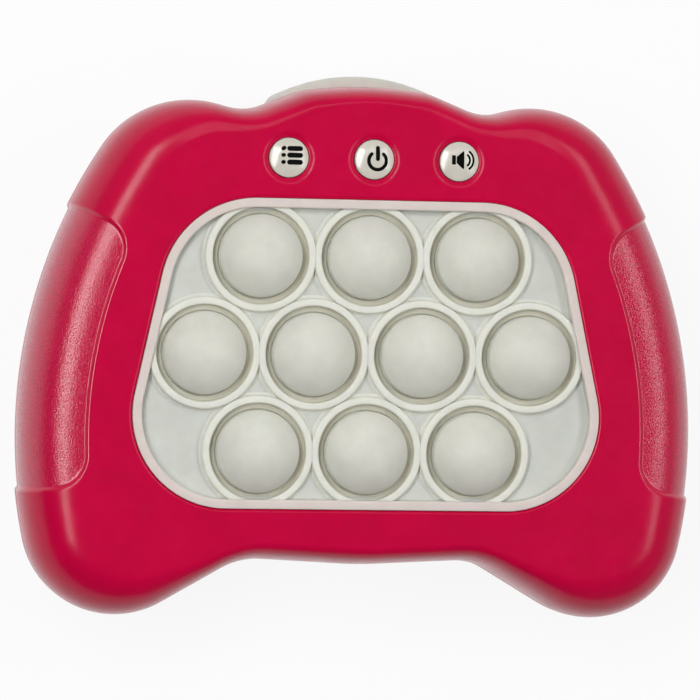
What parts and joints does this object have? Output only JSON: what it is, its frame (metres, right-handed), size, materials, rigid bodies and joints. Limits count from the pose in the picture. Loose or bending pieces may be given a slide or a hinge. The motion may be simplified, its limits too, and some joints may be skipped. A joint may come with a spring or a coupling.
{
  "type": "handheld bubble memory game",
  "caption": "Handheld light-up game in a game-pad case, with silicone pop bubbles over switches, small push buttons, a sprung push bar and a battery door.",
  "frame": {"origin": "middle of the bounding box, on the flat back that the game lies on", "axes": "+X across the grips to the right, +Y towards the push bar, +Z out of the bubble face"},
  "size_m": [0.1488, 0.1189, 0.0445],
  "materials": {
    "case_pink": "satin",
    "silicone": "matte",
    "white_plastic": "satin",
    "button_white": "gloss",
    "board": "satin",
    "black_plastic": "matte",
    "led": "gloss",
    "steel": "satin",
    "cell": "gloss",
    "lead": "matte"
  },
  "bodies": {
    "case": {"front_shell": "case_pink", "rear_shell": "case_pink", "bubble_pad": "silicone", "pad_frame": "white_plastic", "bar_springs": "steel", "bar_switch": "black_plastic", "main_board": "board", "bubble_switches": "black_plastic", "bubble_leds": "led", "button_switches": "black_plastic", "controller_chip": "black_plastic", "board_screws": "steel", "speaker": "steel", "speaker_leads": "lead", "battery_door": "case_pink", "door_screw": "steel", "battery_1": "cell", "battery_2": "cell", "battery_3": "cell", "battery_springs": "steel", "battery_plates": "steel", "battery_leads": "lead", "case_screws": "steel"},
    "bubble_1": {"bubble_1": "silicone"},
    "bubble_2": {"bubble_2": "silicone"},
    "bubble_3": {"bubble_3": "silicone"},
    "bubble_4": {"bubble_4": "silicone"},
    "bubble_5": {"bubble_5": "silicone"},
    "bubble_6": {"bubble_6": "silicone"},
    "bubble_7": {"bubble_7": "silicone"},
    "bubble_8": {"bubble_8": "silicone"},
    "bubble_9": {"bubble_9": "silicone"},
    "bubble_10": {"bubble_10": "silicone"},
    "menu_button": {"menu_button": "button_white"},
    "power_button": {"power_button": "button_white"},
    "sound_button": {"sound_button": "button_white"},
    "push_bar": {"push_bar": "white_plastic"}
  },
  "joints": [
    {"name": "bubble_1_press", "type": "slide", "parent": "case", "child": "bubble_1", "axis": [0, 0, -1], "range_m": [0, 0.0045], "stiffness_N_per_m": 300, "springref_m": -0.0015},
    {"name": "bubble_2_press", "type": "slide", "parent": "case", "child": "bubble_2", "axis": [0, 0, -1], "range_m": [0, 0.0045], "stiffness_N_per_m": 300, "springref_m": -0.0015},
    {"name": "bubble_3_press", "type": "slide", "parent": "case", "child": "bubble_3", "axis": [0, 0, -1], "range_m": [0, 0.0045], "stiffness_N_per_m": 300, "springref_m": -0.0015},
    {"name": "bubble_4_press", "type": "slide", "parent": "case", "child": "bubble_4", "axis": [0, 0, -1], "range_m": [0, 0.0045], "stiffness_N_per_m": 300, "springref_m": -0.0015},
    {"name": "bubble_5_press", "type": "slide", "parent": "case", "child": "bubble_5", "axis": [0, 0, -1], "range_m": [0, 0.0045], "stiffness_N_per_m": 300, "springref_m": -0.0015},
    {"name": "bubble_6_press", "type": "slide", "parent": "case", "child": "bubble_6", "axis": [0, 0, -1], "range_m": [0, 0.0045], "stiffness_N_per_m": 300, "springref_m": -0.0015},
    {"name": "bubble_7_press", "type": "slide", "parent": "case", "child": "bubble_7", "axis": [0, 0, -1], "range_m": [0, 0.0045], "stiffness_N_per_m": 300, "springref_m": -0.0015},
    {"name": "bubble_8_press", "type": "slide", "parent": "case", "child": "bubble_8", "axis": [0, 0, -1], "range_m": [0, 0.0045], "stiffness_N_per_m": 300, "springref_m": -0.0015},
    {"name": "bubble_9_press", "type": "slide", "parent": "case", "child": "bubble_9", "axis": [0, 0, -1], "range_m": [0, 0.0045], "stiffness_N_per_m": 300, "springref_m": -0.0015},
    {"name": "bubble_10_press", "type": "slide", "parent": "case", "child": "bubble_10", "axis": [0, 0, -1], "range_m": [0, 0.0045], "stiffness_N_per_m": 300, "springref_m": -0.0015},
    {"name": "menu_button_press", "type": "slide", "parent": "case", "child": "menu_button", "axis": [0, 0, -1], "range_m": [0, 0.0008], "stiffness_N_per_m": 600, "springref_m": -0.0008},
    {"name": "power_button_press", "type": "slide", "parent": "case", "child": "power_button", "axis": [0, 0, -1], "range_m": [0, 0.0008], "stiffness_N_per_m": 600, "springref_m": -0.0008},
    {"name": "sound_button_press", "type": "slide", "parent": "case", "child": "sound_button", "axis": [0, 0, -1], "range_m": [0, 0.0008], "stiffness_N_per_m": 600, "springref_m": -0.0008},
    {"name": "push_bar_slide", "type": "slide", "parent": "case", "child": "push_bar", "axis": [0, -1, 0], "range_m": [0, 0.0022], "stiffness_N_per_m": 700, "springref_m": -0.003, "deforming": ["bar_springs"]}
  ]
}
